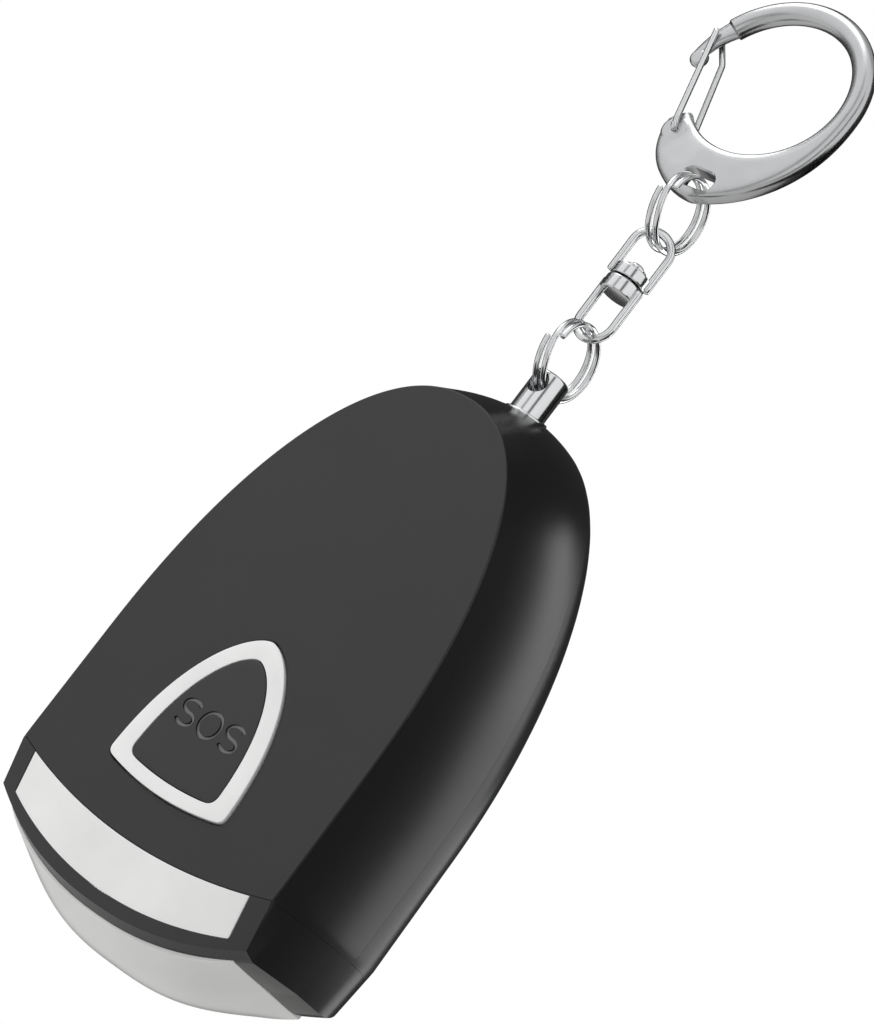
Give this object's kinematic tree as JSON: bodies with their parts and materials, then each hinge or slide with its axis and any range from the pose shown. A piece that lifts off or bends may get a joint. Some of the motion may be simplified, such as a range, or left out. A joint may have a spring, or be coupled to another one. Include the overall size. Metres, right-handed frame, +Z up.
{
  "type": "personal safety alarm",
  "caption": "Pull-pin personal safety alarm: an arched plastic body with a triangular alarm button, a light bar and an end lens, on a chain with a swivel and a snap hook.",
  "frame": {"origin": "where the hook bears on what it hangs from: the inside of the hook's loop at its top, on the chain's axis", "axes": "+Z up along the chain, -Y out of the front face with the button, +X to the right seen from the front"},
  "size_m": [0.0456, 0.0263, 0.1439],
  "materials": {
    "cover_grey": "fine satin moulded plastic",
    "cap_black": "semi-gloss moulded plastic",
    "light_white": "translucent white plastic",
    "button_black": "satin moulded plastic",
    "board_green": "solder mask",
    "led_yellow": "clear resin",
    "inner_black": "moulded plastic",
    "gasket_foam": "foam",
    "cell_steel": "nickel plated",
    "contact_brass": "plated",
    "screw_steel": "zinc plated",
    "chain_nickel": "polished nickel plate"
  },
  "bodies": {
    "hook": {"hook": "chain_nickel"},
    "gate": {"hook_gate": "chain_nickel"},
    "upper_ring": {"upper_split_ring": "chain_nickel"},
    "swivel_top": {"swivel_upper_drum": "chain_nickel", "swivel_upper_loop": "chain_nickel"},
    "swivel_bottom": {"swivel_lower_drum": "chain_nickel", "swivel_lower_loop": "chain_nickel", "swivel_rivet": "chain_nickel"},
    "lower_ring": {"lower_split_ring": "chain_nickel"},
    "pin": {"pull_pin": "chain_nickel"},
    "alarm": {"front_cover": "cover_grey", "rear_cover": "cover_grey", "end_cap": "cap_black", "front_light_bar": "light_white", "end_lens": "light_white", "button_switch": "inner_black", "circuit_board": "board_green", "leds": "led_yellow", "siren": "inner_black", "siren_gasket": "gasket_foam", "coin_cells": "cell_steel", "battery_contact": "contact_brass", "battery_door": "cover_grey", "housing_screws": "screw_steel", "pin_collar": "chain_nickel", "pin_socket": "inner_black", "pin_seal": "gasket_foam", "pull_switch": "inner_black"},
    "button": {"sos_button": "button_black", "button_light_ring": "light_white", "switch_plunger": "inner_black"}
  },
  "joints": [
    {"name": "gate_pivot", "type": "hinge", "parent": "hook", "child": "gate", "pos_m": [-0.00755, 0, -0.02015], "axis": [0, 1, 0], "range_deg": [0, 28], "stiffness_Nm_per_rad": 0.014, "springref_deg": -5.73},
    {"name": "upper_ring_swing", "type": "hinge", "parent": "hook", "child": "upper_ring", "pos_m": [0, 0, -0.0252], "axis": [0, 1, 0], "range_deg": [-60, 60]},
    {"name": "swivel_tilt", "type": "hinge", "parent": "upper_ring", "child": "swivel_top", "pos_m": [0, 0, -0.03322], "axis": [1, 0, 0], "range_deg": [-40, 40]},
    {"name": "swivel_spin", "type": "hinge", "parent": "swivel_top", "child": "swivel_bottom", "pos_m": [0, 0, -0.04075], "axis": [0, 0, 1], "continuous": true},
    {"name": "lower_ring_tilt", "type": "hinge", "parent": "swivel_bottom", "child": "lower_ring", "pos_m": [0, 0, -0.04932], "axis": [1, 0, 0], "range_deg": [-60, 60]},
    {"name": "pin_swing", "type": "hinge", "parent": "lower_ring", "child": "pin", "pos_m": [0, 0, -0.0575], "axis": [0, 1, 0], "range_deg": [-60, 60]},
    {"name": "pin_pull", "type": "slide", "parent": "pin", "child": "alarm", "axis": [0, 0, -1], "range_m": [0, 0.018]},
    {"name": "button_press", "type": "slide", "parent": "alarm", "child": "button", "axis": [0, 1, 0], "range_m": [0, 0.0008], "stiffness_N_per_m": 2500}
  ]
}
